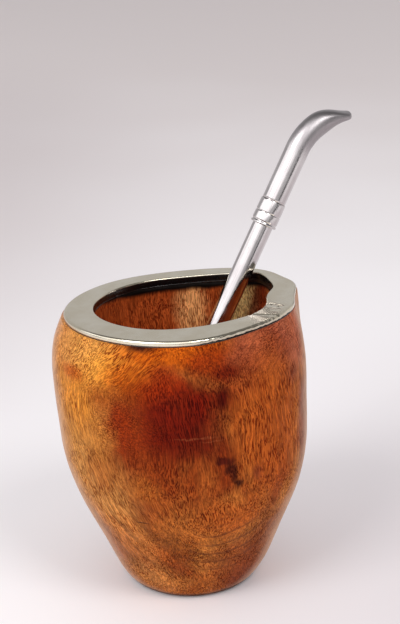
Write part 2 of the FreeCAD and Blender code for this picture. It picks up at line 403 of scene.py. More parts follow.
def layPatches(tree, place, colour, patches):
    for _, centre, reach, softness, tint, strength in patches:
        mask = times(tree, patchMask(tree, place, centre, reach, softness), strength)
        colour = mixColour(tree, mask, colour, shade(*tint))
    return colour


# Wooden body

wood = {
    "columns": 384,
    "sideRows": 158,
    "sideFrom": 2.1,
    "hollowRows": 62,
    "rowSmoothing": 1.2,
    "baseShares": (0.1, 0.35, 0.6, 0.8, 0.93),
    "baseHeights": (0.02, 0.1, 0.25, 0.45, 0.7, 1.0, 1.5),
    "ledgeHeight": 99.0,
    "topHeight": 99.7,
    "ledgeInset": 1.3,
    "bandThickness": 1.2,
    "bandEdgeRise": 1.25,
    # Raggedness of the band's edge: size, seed, octaves and depth
    "bandRagged": ((2.6, 4.0, 2, 0.28), (9.0, 6.0, 1, 0.2)),
    "lobeDirection": 42.0,
    "lobeReach": 26.0,
    "floorHeight": 13.0,
    "floorRises": (2.2, 1.5, 1.0, 0.6, 0.3, 0.12),
    "floorShares": (0.9, 0.7, 0.45, 0.2),
    "hollowMiddle": (0.0, 1.0),
    "mouthFrom": 86.0,
    "carvingDepth": 0.10,
    "carvingSize": 11.0,
    "toolMarkDepth": 0.05,
    "toolMarkTurn": 2.3,
    "rimReadHeight": 100.2,
    "rimSmoothing": 1.5 / 720,
}


def rimRows(columns):
    # Outer edge and mouth edge of the rim, in plan, from the metal ring itself
    ring = cadSurface("rim_ring")
    angles = roundAngles(columns)
    rows = []
    for fromOutside in (True, False):
        reaches = reachOut(ring, wood["rimReadHeight"], angles, fromOutside=fromOutside)
        rows.append(planRow(angles, smoothRound(reaches, wood["rimSmoothing"] * columns), 0.0))
    return rows


def bandEdge(columns):
    # Height of the mastic's ragged lower edge in the mouth: lowest in the side lobe
    low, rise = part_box("rim_bed")[0].z / mm, wood["bandEdgeRise"]
    angles = roundAngles(columns)
    spots = planRow(angles, 20.0, 0.0)
    lobe = np.exp(-((np.degrees(angles) - wood["lobeDirection"]) / wood["lobeReach"]) ** 2)
    edge = rise * (0.8 - 0.75 * lobe)
    for size, seed, octaves, depth in wood["bandRagged"]:
        edge += smoothNoise(spots, size, seed, octaves) * depth
    return low + np.clip(edge, 0.0, rise)


def buildBody():
    # From the middle of the base up the side, over the ledges and down the hollow
    body = cadSurface("cup_body")
    columns, middle, floor = wood["columns"], wood["hollowMiddle"], wood["floorHeight"]
    ledge, inset, band = wood["ledgeHeight"], -wood["ledgeInset"], wood["bandThickness"]
    angles = roundAngles(columns)
    outerEdge, mouthEdge = rimRows(columns)
    heights = [*wood["baseHeights"], *np.linspace(wood["sideFrom"], ledge - 0.02, wood["sideRows"])]
    side = np.array([reachOut(body, height, angles) for height in heights])
    side[5:] = smoothRound(side[5:].T, wood["rowSmoothing"]).T
    rows = [planRow(angles, side[0] * share, 0.0) for share in wood["baseShares"]]
    rows += [planRow(angles, side[0] - 0.02, 0.0)]
    rows += [planRow(angles, reach, height) for reach, height in zip(side, heights)]
    sideEnd = len(rows)
    edge = bandEdge(columns)
    rows += [
        planRow(angles, side[-1], ledge), movedRow(outerEdge, inset, ledge),
        movedRow(outerEdge, inset, wood["topHeight"]), movedRow(mouthEdge, band, wood["topHeight"]),
        movedRow(mouthEdge, band, edge),
    ]
    hollowStart = len(rows)
    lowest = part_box("rim_bed")[0].z / mm
    top = lowest - 0.03
    hollowHeights = list(top + (floor + 3.0 - top) * np.linspace(0.0, 1.0, wood["hollowRows"]))
    hollowHeights += [floor + rise for rise in wood["floorRises"]]
    inner = np.array([
        reachOut(body, height, angles, middle, fromOutside=False) for height in hollowHeights
    ])
    inner[1:-6] = smoothRound(inner[1:-6].T, wood["rowSmoothing"]).T
    for reach, height in zip(inner, hollowHeights):
        rise = (edge - lowest) * eased((height - wood["mouthFrom"]) / 11.0)
        rows.append(planRow(angles, reach, height + rise, middle))
    rows += [planRow(angles, inner[-1] * share, floor, middle) for share in wood["floorShares"]]
    rows = carved(rows, sideEnd, hollowStart)
    piece = gridMesh("mateCupWood", rows, startPole=(0.0, 0.0, 0.0), endPole=(*middle, floor))
    inHollow = [float(index >= hollowStart - 1) for index in range(len(rows))]
    keepRowValues(piece, "inHollow", inHollow, columns)
    return turnOutwards(piece)


def carved(rows, sideEnd, hollowStart):
    # The hand-worked surface: soft unevenness outside, and turning marks in the hollow
    first, last, fadeRows, depth = 13, sideEnd - 2, 6, wood["carvingDepth"]
    for index in [*range(first + 1, last), *range(hollowStart + 3, len(rows) - 9)]:
        row = rows[index]
        bump = smoothNoise(row, wood["carvingSize"], 1.0, 2) * depth - depth * 0.6
        if index < sideEnd:
            bump *= min(1.0, (last - index) / fadeRows, (index - first) / fadeRows)
        else:
            bump = -bump - wood["toolMarkDepth"] * math.sin(row[0, 2] * wood["toolMarkTurn"])
        row[:, :2] += outwardOf(row) * bump[:, None]
    return rows


woodFinish = {
    "ground": (168, 86, 32),
    "groundPale": (194, 120, 52),
    "groundDeep": (136, 56, 19),
    "inside": (178, 80, 34),
    # Wandering of the fibres, the pores and the stains: size, amount and seed
    "bend": (26.0, 3.4, 3.0),
    "raggedness": (8.0, 0.55, 8.0),
    "stainBend": (13.0, 4.5, 1.0),
    "stainEdge": (2.6, 1.3, 2.0),
    "markEdge": (2.2, 0.9, 2.0),
    # Grain fields: turn, fibre length, and the centre and reach of their patch
    "grain": (
        ((0.0, 0.08, 0.0), 10.0, None, None),
        ((0.0, 0.38, 0.0), 8.0, (-30, -26, 42), (18, 18, 26)),
        ((0.0, -0.9, 0.0), 7.0, (-26, -32, 94), (22, 18, 11)),
        ((1.35, 0.3, 0.0), 2.4, (-20, -38, 73), (12, 14, 10)),
        ((1.2, -0.3, 0.0), 2.0, (28, -24, 94), (15, 14, 9)),
    ),
    "poreTint": (0.28, 0.10, 0.06, 1.0),
    "paleTint": (1.45, 1.42, 1.3, 1.0),
    "poreStrength": 0.88,
    "poreDepth": 0.10,
    "bandTurn": (0.0, 0.62, 0.0),
    "bandLength": 9.0,
    "bandWidth": 1.9,
    "bandStrength": 0.8,
    "bandPatch": ((-12, -30, 26), (26, 20, 20)),
    "ringCentre": (11, -36, 50),
    "ringSpacing": 3.4,
    "ringStrength": 0.6,
    "ringPatch": ((14, -30, 24), (17, 16, 11), 0.4),
    "ringColour": (96, 44, 24),
    "scratchPatch": ((-15.6, -34.8, 36.9), (1.9, 3.0, 0.22)),
    "scratchColour": (48, 22, 18),
    # Painted contact shade round the foot: heights where it fades out, and its colour
    "footShadeTo": (0.5, 2.2),
    "footShadeColour": (70, 30, 16),
    # The hollow's wall darkened just below the mastic: heights where it fades, and its colour
    "darkBelowMasticFrom": (95.4, 97.4),
    "darkBelowMasticColour": (14, 8, 6),
    # Painted sheen at the wood's turned-away edges: its colour and strength
    "paintedSheenColour": (216, 178, 152),
    "paintedSheenStrength": 0.82,
}

# Patches are laid over each other in order: centre and reach in millimetres,
# softness of the edge, colour, and strength
outsidePatches = [
    ("leftFlank", (-40, -16, 60), (13, 26, 34), 0.5, (208, 142, 68), 0.9),
    ("leftTop", (-40, -10, 97), (10, 16, 12), 0.5, (232, 158, 84), 0.85),
    ("goldShoulder", (-29, -28, 95), (12, 13, 8), 0.6, (240, 168, 82), 0.85),
    ("goldShoulderLow", (-20, -34, 90), (13, 9, 6.5), 0.7, (240, 158, 54), 0.8),
    ("goldLeft", (-35, -26, 79), (8, 9, 11), 0.6, (230, 144, 48), 0.8),
    ("orangeCollar", (-3, -38, 97), (20, 9, 5.5), 0.5, (204, 94, 12), 0.95),
    ("orangeCollarRight", (10, -37, 94), (8, 7, 5), 0.6, (148, 49, 9), 0.9),
    ("orangeMid", (-17, -37, 88), (9, 8, 6), 0.6, (188, 83, 10), 0.85),
    ("warmBrown", (-13, -38, 72), (14, 9, 13), 0.6, (154, 52, 8), 0.85),
    ("heartwood", (-1, -41, 80), (15, 10, 11), 0.6, (111, 16, 3), 0.95),
    ("heartwoodLow", (0, -42, 68), (13, 10, 8), 0.6, (101, 13, 2), 0.9),
    ("heartwoodDeep", (10, -41, 81), (9, 9, 7), 0.6, (106, 12, 2), 0.75),
    ("brownBelow", (-3, -40, 55), (15, 10, 8), 0.7, (134, 50, 12), 0.8),
    ("rosyTop", (24, -26, 96), (12, 12, 8), 0.5, (178, 91, 60), 0.9),
    ("rosySide", (36, -12, 94), (9, 16, 12), 0.5, (182, 96, 68), 0.85),
    ("brownRightTop", (30, -22, 92), (6, 9, 5), 0.7, (136, 60, 34), 0.8),
    ("rightFlank", (28, -30, 68), (13, 14, 26), 0.5, (187, 91, 30), 0.85),
    ("leftLow", (-26, -30, 44), (10, 12, 14), 0.6, (206, 138, 70), 0.85),
    ("brownLeftLow", (-28, -32, 56), (6, 8, 8), 0.7, (172, 96, 38), 0.7),
    ("middleLow", (-2, -36, 34), (15, 9, 8), 0.6, (181, 104, 42), 0.7),
    ("rightLow", (15, -35, 38), (12, 9, 8), 0.6, (188, 92, 32), 0.8),
    ("leftFootTan", (-22, -28, 26), (9, 11, 11), 0.6, (196, 120, 58), 0.8),
    ("foot", (0, -22, 6), (32, 26, 9), 0.5, (184, 100, 38), 0.7),
    ("footRight", (18, -20, 8), (9, 12, 12), 0.6, (128, 52, 24), 0.8),
    # Painted shade low on the right of the cup
    ("lowRightShade", (16, -30, 19), (11, 14, 7.5), 0.6, (156, 74, 34), 0.7),
    ("footLeft", (-16, -22, 10), (9, 12, 8), 0.6, (190, 124, 66), 0.8),
    ("footMiddle", (-8, -24, 9), (8, 12, 7), 0.7, (204, 128, 60), 0.6),
    # Painted shade along the right-low edge
    ("rightLowEdgeShade", (25, -22, 25), (7, 10, 12), 0.7, (136, 62, 28), 0.7),
    ("goldMid", (-14, -38, 51), (6, 9, 5), 0.7, (196, 112, 42), 0.55),
    ("brownLeft", (-27, -32, 82), (5, 8, 4), 0.7, (170, 76, 18), 0.6),
    ("paleLeft", (-28, -32, 70), (5, 8, 7), 0.7, (214, 138, 60), 0.6),
    ("redBrownTop", (-7, -39, 88), (6, 8, 4), 0.7, (160, 40, 3), 0.7),
    ("brownRightUpper", (20, -34, 89), (7, 9, 7), 0.7, (146, 60, 28), 0.55),
]

outsideMarks = [
    ("redSpecks", (-36, -24, 87.5), (4.6, 6, 2.2), 0.7, (196, 92, 24), 0.8),
    ("darkCloud", (14.5, -36.5, 89.5), (4.6, 5, 2.2), 0.7, (106, 22, 5), 0.85),
    ("darkKnot", (12.6, -39.5, 82.2), (2.0, 4, 3.4), 0.7, (72, 6, 2), 0.9),
    ("darkRight", (36, -20, 82), (3, 4, 3), 0.7, (136, 66, 42), 0.7),
    ("goldByKnot", (7, -41, 53), (3, 5, 5), 0.8, (186, 98, 38), 0.6),
    ("purpleSmudge", (-13.2, -36, 99.9), (5.4, 4, 2.0), 0.6, (46, 20, 16), 0.95),
    ("knotHead", (11.3, -40.5, 60.7), (1.7, 4, 1.3), 0.5, (66, 14, 5), 0.92),
    ("knotBridge", (13.2, -40, 60.0), (2.4, 4, 1.2), 0.6, (84, 24, 12), 0.85),
    ("knotWaist", (14.4, -39.5, 57.0), (2.4, 4, 2.1), 0.6, (58, 14, 6), 0.88),
    ("knotLink", (15.3, -39, 54.0), (1.1, 4, 1.9), 0.6, (62, 17, 7), 0.85),
    ("knotTail", (16.8, -38.2, 51.4), (1.4, 4, 1.4), 0.6, (50, 13, 6), 0.9),
    ("paleLine", (4, -42, 69.6), (6.5, 3, 0.3), 0.7, (184, 100, 60), 0.3),
    ("paleLineLow", (9, -41, 68.2), (3.5, 3, 0.25), 0.7, (180, 96, 58), 0.25),
    ("specksRight", (23, -34.5, 53.4), (1.8, 3, 2.6), 0.7, (120, 50, 28), 0.7),
]

# In the hollow, the gold patch and the orange strip at the right are painted light on the back
# wall, the red patch is painted shade on the right wall, and the pale patch lightens the back wall
insidePatches = [
    ("insidePale", (4, 28, 88), (5, 6, 16), 0.6, (248, 178, 112), 0.85),
    ("insideLitGold", (21, 31, 84), (6, 6, 16), 0.5, (255, 228, 152), 0.9),
    ("insideShadedRed", (28, 29, 84), (4.0, 6, 18), 0.4, (126, 46, 24), 0.85),
    ("insideLitEdge", (32, 25, 88), (2.2, 6, 16), 0.5, (232, 136, 72), 0.8),
]


def blendGrain(tree, place):
    # The first grain field everywhere, and each other one inside its patch
    blended = None
    for turn, length, centre, reach in woodFinish["grain"]:
        grain = useGroup(tree, grainGroup, {"Place": place, "Turn": turn, "Fibre Length": length})
        values = [grain[name] for name in ("Pores", "Streaks", "Fleck")]
        if blended is None:
            blended = values
        else:
            mask = patchMask(tree, place, centre, reach)
            blended = [mixValue(tree, mask, old, new) for old, new in zip(blended, values)]
    return blended


def woodGround(tree, place, bent, inner):
    # Pale and deep wood in turn, the stains and marks in front, and a redder hollow with painted
    # light and shade on its walls
    names = ("ground", "groundPale", "groundDeep")
    ground, pale, deep = (shade(*woodFinish[name]) for name in names)
    broad = noiseNode(tree, vectorNode(tree, "MULTIPLY", bent, (1.0, 1.0, 0.45)), 0.045)
    colour = mixColour(tree, rampTo(tree, broad, 0.42, 0.62), ground, pale)
    aside = vectorNode(tree, "MULTIPLY", bent, (1.0, 1.0, 0.5))
    aside = vectorNode(tree, "ADD", aside, (90, 20, 40))
    colour = mixColour(tree, rampTo(tree, noiseNode(tree, aside, 0.05), 0.5, 0.66), colour, deep)
    stains = wander(tree, place, *woodFinish["stainBend"])
    stains = wander(tree, stains, *woodFinish["stainEdge"])
    colour = layPatches(tree, stains, colour, outsidePatches)
    colour = layPatches(tree, wander(tree, place, *woodFinish["markEdge"]), colour, outsideMarks)
    # The hollow's colour, with its painted light and shade
    hollow = layPatches(tree, stains, shade(*woodFinish["inside"]), insidePatches)
    return mixColour(tree, inner, colour, hollow), stains


def woodBands(tree, place, bent, colour):
    # Broad bands of early and late wood, slanting down to the right at the foot
    bands = useGroup(tree, grainGroup, {
        "Place": bent, "Turn": woodFinish["bandTurn"], "Fibre Length": woodFinish["bandLength"],
        "Pore Size": woodFinish["bandWidth"],
    })
    level = rampTo(tree, bands["Streaks"], 0.38, 0.62, 0.66, 1.3)
    zone = times(tree, patchMask(tree, place, *woodFinish["bandPatch"]), woodFinish["bandStrength"])
    return dimmed(tree, zone, colour, level)


def woodRings(tree, stains, bent, colour):
    # Growth rings, cut across low on the right
    offset = vectorNode(tree, "SUBTRACT", bent, woodFinish["ringCentre"])
    reach = vectorNode(tree, "LENGTH", vectorNode(tree, "MULTIPLY", offset, (1.0, 0.25, 0.85)))
    rings = mathNode(tree, "FRACT", mathNode(tree, "DIVIDE", reach, woodFinish["ringSpacing"]))
    line = times(tree, rampTo(tree, rings, 0.62, 0.95), mathNode(tree, "LESS_THAN", rings, 0.97))
    line = times(tree, line, patchMask(tree, stains, *woodFinish["ringPatch"]))
    line = times(tree, line, woodFinish["ringStrength"])
    return mixColour(tree, line, colour, shade(*woodFinish["ringColour"]))


def makeWood():
    material, tree, shader, place = newMaterial("carvedWood", {"Specular IOR Level": 0.05})
    bent = wander(tree, place, *woodFinish["bend"])
    ragged = wander(tree, bent, *woodFinish["raggedness"])
    inner = readValue(tree, "inHollow")
    colour, stains = woodGround(tree, place, bent, inner)

    # Streaks, flecks and dark open pores
    pores, streaks, fleck = blendGrain(tree, ragged)
    amount = noiseNode(tree, bent, 0.16)
    pores = times(tree, pores, rampTo(tree, amount, 0.32, 0.62, 0.45, 1.0))
    colour = dimmed(tree, 1.0, colour, rampTo(tree, streaks, 0.35, 0.68, 0.72, 1.28))
    paleShare = rampTo(tree, fleck, 0.55, 0.75, 0.0, 0.7)
    colour = mixColour(tree, paleShare, colour, woodFinish["paleTint"], "MULTIPLY")
    poreShare = times(tree, pores, woodFinish["poreStrength"])
    colour = mixColour(tree, poreShare, colour, woodFinish["poreTint"], "MULTIPLY")
    colour = woodBands(tree, place, bent, colour)
    colour = woodRings(tree, stains, bent, colour)

    # Painted sheen: the colour is mixed paler where the wood turns away from view, outside the
    # hollow
    facing = addNode(tree, "ShaderNodeLayerWeight", {"Blend": 0.5}).outputs["Facing"]
    edge = times(tree, rampTo(tree, facing, 0.6, 0.97), woodFinish["paintedSheenStrength"])
    edge = times(tree, edge, mathNode(tree, "SUBTRACT", 1.0, inner))
    colour = mixColour(tree, edge, colour, shade(*woodFinish["paintedSheenColour"]))

    # A short scratch low on the left, painted contact shade round the foot, and the hollow's wall
    # darkened just below the mastic
    scratch = patchMask(tree, place, *woodFinish["scratchPatch"])
    height = heightOf(tree, ragged)
    # Painted contact shade, darkest at the very foot
    footShade = rampTo(tree, height, *woodFinish["footShadeTo"], 1.0, 0.0)
    darkBelowMastic = times(tree, rampTo(tree, height, *woodFinish["darkBelowMasticFrom"]), inner)
    masks = (
        (times(tree, scratch, 0.85), "scratchColour"), (times(tree, footShade, 0.75), "footShadeColour"),
        (darkBelowMastic, "darkBelowMasticColour"),
    )
    for mask, name in masks:
        colour = mixColour(tree, mask, colour, shade(*woodFinish[name]))

    rough = rampTo(tree, amount, 0.3, 0.7, 0.36, 0.5)
    rough = mathNode(tree, "ADD", times(tree, pores, 0.25), rough)
    relief = mathNode(tree, "SUBTRACT", times(tree, streaks, 0.35), pores)
    relief = mathNode(tree, "SUBTRACT", relief, scratch)
    joinNodes(tree, shader, colour, rough, relief, woodFinish["poreDepth"])
    return material


print("building the wooden body")
finishPiece(buildBody(), makeWood(), "wood", "cup_body")


# Metal rim

rim = {
    "columns": 720,
    "top": 101.0,
    "plateUnder": 100.0,
    "lipBottom": 99.3,
    "lipThickness": 1.0,
    "lipRound": 0.95,
    # Foot of the lip, and of the skirt in the mouth: inset and rise
    "lipFoot": ((1.0, 0.0), (0.25, 0.0), (0.07, 0.06), (0.0, 0.22)),
    "skirtBottom": 98.4,
    "skirtThickness": 0.8,
    "skirtFoot": ((0.0, 0.15), (0.12, 0.0), (0.8, 0.0)),
    "mouthRound": 0.4,
    "landRows": 60,
    "waveDepth": 0.05,
    "hammerDepth": 0.26,
    "hammerRise": 0.4,
    "hammerSize": 1.5,
    "hammerMiddle": -47.0,
    "hammerReach": 33.0,
    # Dents: x, y, radius and depth
    "dents": ((30.3, -5.6, 1.5, 0.30), (32.6, -7.4, 1.3, 0.27), (31.6, -10.4, 1.2, 0.16)),
    "foldFrom": (23.2, -14.2),
    "foldTo": (33.2, -16.2),
    "foldDepth": 0.22,
    "colours": ((218, 209, 186), (227, 220, 201)),
    "speckColour": (250, 248, 240),
    # Black of the mastic smear on the skirt, which is also a painted dark reflection, and the
    # heights where it fades
    "smearAndReflectionColour": (13, 12, 12),
    "smearAndReflectionTo": (100.45, 100.62),
}


def rimSink(points):
    # How far the rim's face lies below its top: soft waves, dents, and one fold
    sink = rim["waveDepth"] * (0.5 + 0.5 * smoothNoise(points, 11.0, 2.0))
    for x, y, radius, depth in rim["dents"]:
        away = np.hypot(points[:, 0] - x, (points[:, 1] - y) * 1.25) / radius
        sink += depth * np.exp(-(away ** 2)) * (1 + 0.35 * np.cos(away * 5))
    start, end = np.array(rim["foldFrom"]), np.array(rim["foldTo"])
    length = np.linalg.norm(end - start)
    along = (end - start) / length
    offset = points[:, :2] - start
    run = offset @ along
    side = offset @ np.array([-along[1], along[0]])
    inside = eased(run / 2 + 1) * eased((length - run) / 3 + 1)
    sink += rim["foldDepth"] * inside * np.where(side < 0, np.exp(side / 1.6), np.exp(-side / 0.35))
    return sink


def hammered(row):
    # Rows of the lip pressed in unevenly where it was hammered over the wood
    away = np.abs(np.degrees(np.arctan2(row[:, 1], row[:, 0])) - rim["hammerMiddle"])
    zone = eased((rim["hammerReach"] - away) / 8 + 0.5)
    bumps = 0.5 + 0.5 * smoothNoise(row, rim["hammerSize"], 7.0, 2)
    pressed = np.clip(bumps, 0, 1) * zone
    row[:, :2] -= outwardOf(row) * (pressed * rim["hammerDepth"])[:, None]
    row[:, 2] += pressed * rim["hammerRise"] * (row[:, 2] < 99.6)
    return row


def roundedRows(edge, radius, angles):
    # An edge rounded up to the rim's top, inwards where the radius is negative
    top, drop = rim["top"], abs(radius)
    return [
        movedRow(edge, radius * (1 - math.cos(angle)), top - drop * (1 - math.sin(angle)))
        for angle in angles
    ]


def buildRim():
    # From the lip's inner foot over the plate, down the mouth and back underneath
    outerEdge, mouthEdge = rimRows(rim["columns"])
    rows = [movedRow(outerEdge, -inset, rim["lipBottom"] + rise) for inset, rise in rim["lipFoot"]]
    rows += roundedRows(outerEdge, -rim["lipRound"], np.linspace(0.0, math.pi / 2, 9))
    rows = [hammered(row) for row in rows]
    mouthRows = roundedRows(mouthEdge, rim["mouthRound"], np.linspace(math.pi / 2, 0.0, 7))
    shares = np.linspace(0.0, 1.0, rim["landRows"] + 2)[1:-1]
    landStart, landEnd = rows[-1], mouthRows[0]
    rows += [landStart + (landEnd - landStart) * share for share in shares]
    rows += mouthRows
    for row in rows:
        row[:, 2] -= rimSink(row) * eased((row[:, 2] - 100.2) / 0.7)
    # Rows of the skirt in the mouth, blackened by mastic and by a painted dark reflection
    blackenedSkirt = range(len(rows) - 1, len(rows) + len(rim["skirtFoot"]))
    rows += [
        movedRow(mouthEdge, inset, rim["skirtBottom"] + rise) for inset, rise in rim["skirtFoot"]
    ]
    rows.append(movedRow(mouthEdge, rim["skirtThickness"], rim["plateUnder"]))
    rows.append(movedRow(outerEdge, -rim["lipThickness"], rim["plateUnder"]))
    piece = turnOutwards(gridMesh("rimPlate", rows, closedAcross=True))
    blackenedRows = [float(index in blackenedSkirt) for index in range(len(rows))]
    keepRowValues(piece, "masticAndDarkReflection", blackenedRows, rim["columns"])
    return piece


def makeRimMetal():
    material, tree, shader, place = newMaterial("polishedRim", {"Metallic": 1.0})
    scuffs = useGroup(tree, scuffGroup, {
        "Place": place, "Turn": (1.2, 0.3, 0.4), "Length": 14.0, "Width": 0.16, "Speck Size": 0.55,
    })
    dark, pale = (shade(*colour) for colour in rim["colours"])
    colour = mixColour(tree, rampTo(tree, scuffs["Cloud"], 0.35, 0.7), dark, pale)
    colour = mixColour(tree, times(tree, scuffs["Specks"], 0.5), colour, shade(*rim["speckColour"]))
    rough = rampTo(tree, scuffs["Cloud"], 0.3, 0.75, 0.09, 0.17)
    rough = mathNode(tree, "ADD", rough, times(tree, scuffs["Hairlines"], 0.08))

    # Black mastic is smeared over the wall of the mouth, below its rounded edge, and the same black
    # is a painted dark reflection: it stands in for the shaded hollow that the polished skirt would
    # mirror
    height = heightOf(tree, wander(tree, place, 2.2, 0.22, 5.0))
    blackenedSkirt = rampTo(tree, height, *rim["smearAndReflectionTo"], 1.0, 0.0)
    blackenedSkirt = times(tree, readValue(tree, "masticAndDarkReflection"), blackenedSkirt)
    colour = mixColour(tree, blackenedSkirt, colour, shade(*rim["smearAndReflectionColour"]))
    tree.links.new(mathNode(tree, "SUBTRACT", 1.0, blackenedSkirt), shader.inputs["Metallic"])
    rough = mathNode(tree, "ADD", rough, times(tree, blackenedSkirt, 0.12))
    joinNodes(tree, shader, colour, rough, scuffs["Hairlines"], 0.004)
    return material


print("building the metal rim")
finishPiece(buildRim(), makeRimMetal(), "rim_metal", "rim_ring")


# Black mastic

bed = {
    "columns": 384,
    "thickness": 0.3,
    "bandRows": 8,
    "colours": ((10, 9, 9), (34, 24, 18)),
    "speckColour": (92, 56, 32),
    "lumpDepth": 0.12,
}


def buildBed():
    # Round the plate's ledge, under the rim, and down the band in the mouth
    outerEdge, mouthEdge = rimRows(bed["columns"])
    ledge, woodTop = wood["ledgeHeight"], rim["plateUnder"] - bed["thickness"]
    lip, skirt, band = rim["lipThickness"], rim["skirtThickness"], wood["bandThickness"]
    edge = bandEdge(bed["columns"])
    outline = [
        (outerEdge, -wood["ledgeInset"], ledge), (outerEdge, -0.3, ledge),
        (outerEdge, -0.08, ledge + 0.05), (outerEdge, -0.05, ledge + 0.15),
        (outerEdge, -0.1, rim["lipBottom"]), (outerEdge, -lip, rim["lipBottom"]),
        (outerEdge, -lip, rim["plateUnder"]), (mouthEdge, skirt, rim["plateUnder"]),
        (mouthEdge, skirt, rim["skirtBottom"]), (mouthEdge, 0.3, rim["skirtBottom"]),
        (mouthEdge, 0.08, rim["skirtBottom"] - 0.1),
    ]
    start = rim["skirtBottom"] - 0.15
    for share in np.linspace(0.0, 1.0, bed["bandRows"]):
        outline.append((mouthEdge, 0.1 + 0.15 * share ** 3, start + (edge + 0.05 - start) * share))
    outline += [
        (mouthEdge, 0.4, edge), (mouthEdge, band, edge), (mouthEdge, band, woodTop),
        (outerEdge, -wood["ledgeInset"], woodTop),
    ]
    rows = [movedRow(*line) for line in outline]
    return turnOutwards(gridMesh("masticBed", rows, closedAcross=True))


def makeMastic():
    settings = {"Specular IOR Level": 0.6, "Coat Weight": 0.4, "Coat Roughness": 0.12}
    material, tree, shader, place = newMaterial("blackMastic", settings)
    scuffs = useGroup(tree, scuffGroup, {
        "Place": place, "Length": 3.0, "Width": 0.4, "Speck Size": 0.6,
    })
    dark, pale = (shade(*colour) for colour in bed["colours"])
    colour = mixColour(tree, scuffs["Cloud"], dark, pale)
    colour = mixColour(tree, scuffs["Specks"], colour, shade(*bed["speckColour"]))
    rough = rampTo(tree, scuffs["Cloud"], 0.3, 0.7, 0.16, 0.4)
    joinNodes(tree, shader, colour, rough, noiseNode(tree, place, 1.1), bed["lumpDepth"])
    return material


print("building the mastic")
finishPiece(buildBed(), makeMastic(), "mastic", "rim_bed")


# Straw. Its axis and its place come from the tube itself.

straw = {
    "columns": 96,
    "stemRadius": 3.75,
    "stemWall": 0.5,
    "stemLow": -60.1,
    "stemHigh": 35.9,
    "mouthpieceRadius": 4.3,
    "mouthpieceWall": 0.5,
    "mouthpieceLow": 28.9,
    "bendStart": 48.8,
    "bendRadius": 19.6,
    "bendAngle": 60.0,
    "tipLength": 4.4,
    "tipThickness": 2.7,
    "tipCorner": 2.8,
    "tipSquareness": 0.8,
    "pressStart": 11.4,
    "collarLow": 19.8,
    "collarHigh": 28.9,
    "collarRadius": 4.75,
    # Ridges and grooves of the collar: depth below its radius, and rise
    "collarSteps": (
        (0.3, 0.0), (0.08, 0.1), (0.0, 0.35), (0.0, 0.6), (0.1, 0.82), (0.3, 0.92), (0.3, 1.35),
        (0.12, 1.45), (0.1, 1.7), (0.1, 4.1), (0.14, 4.3), (0.3, 4.4), (0.3, 4.6), (0.17, 4.7),
        (0.15, 4.95), (0.15, 8.6), (0.2, 8.9), (0.3, 9.1),
    ),
    "colours": ((205, 200, 200), (219, 215, 214)),
    "hairlineColour": (150, 142, 138),
    # Painted darker grey at the bend, standing in for its reflection, and the reach of the worn,
    # rougher patch
    "bendReflectionGrey": (150, 145, 147),
    "bendGreyReach": (16, 16, 13),
}


def strawFrame():
    # The straw's foot on its axis at the rim's height, and its three ways
    points = nodePoints("straw_stem")
    middle = points.mean(axis=0)
    axis = np.linalg.svd(points - middle, full_matrices=False)[2][0]
    axis *= np.sign(axis[2])
    base = middle + axis * (rim["top"] - middle[2]) / axis[2]
    toTip = nodePoints("straw_mouthpiece").mean(axis=0) - base
    bendWay = toTip - axis * (toTip @ axis)
    bendWay /= np.linalg.norm(bendWay)
    return base, bendWay, np.cross(axis, bendWay), axis


strawBase, strawBendWay, strawSideWay, strawAxis = strawFrame()
tipRun = straw["bendRadius"] * math.radians(straw["bendAngle"]) + straw["tipLength"]


def strawPlace(points):
    # From the standing straw to its place in the cup
    ways = np.array([strawBendWay, strawSideWay, strawAxis])
    return strawBase + np.asarray(points) @ ways


def bendPlace(run):
    turn = min(max(run / straw["bendRadius"], 0.0), math.radians(straw["bendAngle"]))
    straight = run - straw["bendRadius"] * turn
    x = straw["bendRadius"] * (1 - math.cos(turn)) + straight * math.sin(turn)
    z = straw["bendStart"] + straw["bendRadius"] * math.sin(turn) + straight * math.cos(turn)
    return np.array([x, 0.0, z]), np.array([math.cos(turn), 0.0, -math.sin(turn)])


def ovalRow(centre, thickWay, thickness, width, squareness, angles):
    power = 2 / squareness
    across = np.sign(np.cos(angles)) * np.abs(np.cos(angles)) ** power * thickness / 2
    side = np.sign(np.sin(angles)) * np.abs(np.sin(angles)) ** power * width / 2
    return centre + across[:, None] * thickWay + side[:, None] * np.array([0.0, 1.0, 0.0])


def mouthpieceRow(run, inset, angles):
    # Pressed flat towards the tip, with the tip's two corners rounded off
    pressed = float(eased((run - straw["pressStart"]) / (tipRun - straw["pressStart"])))
    width, corner = 2 * straw["mouthpieceRadius"], straw["tipCorner"]
    thickness = width - (width - straw["tipThickness"]) * pressed
    reach = max(corner - (tipRun - run), 0.0)
    width -= 2 * (corner - math.sqrt(max(corner ** 2 - reach ** 2, 0.0)))
    centre, thickWay = bendPlace(run)
    squareness = 2.0 + straw["tipSquareness"] * pressed
    return ovalRow(centre, thickWay, thickness - 2 * inset, width - 2 * inset, squareness, angles)


def buildMouthpiece():
    angles = roundAngles(straw["columns"])
    corner, wall = straw["tipCorner"], straw["mouthpieceWall"]
    runs = list(np.linspace(straw["mouthpieceLow"] - straw["bendStart"], tipRun - corner, 44))
    turns = np.linspace(0.15, 1.0, 9) * math.pi / 2
    runs += list(tipRun - corner * (1 - np.sin(turns) * 0.985))
    rows = [mouthpieceRow(run, 0.0, angles) for run in runs]
    rows.append(mouthpieceRow(runs[-1] + 0.03, wall / 2, angles))
    rows += [mouthpieceRow(run, wall, angles) for run in reversed(runs)]
    rows = [strawPlace(row) for row in rows]
    return turnOutwards(gridMesh("strawMouthpiece", rows, closedAcross=True))


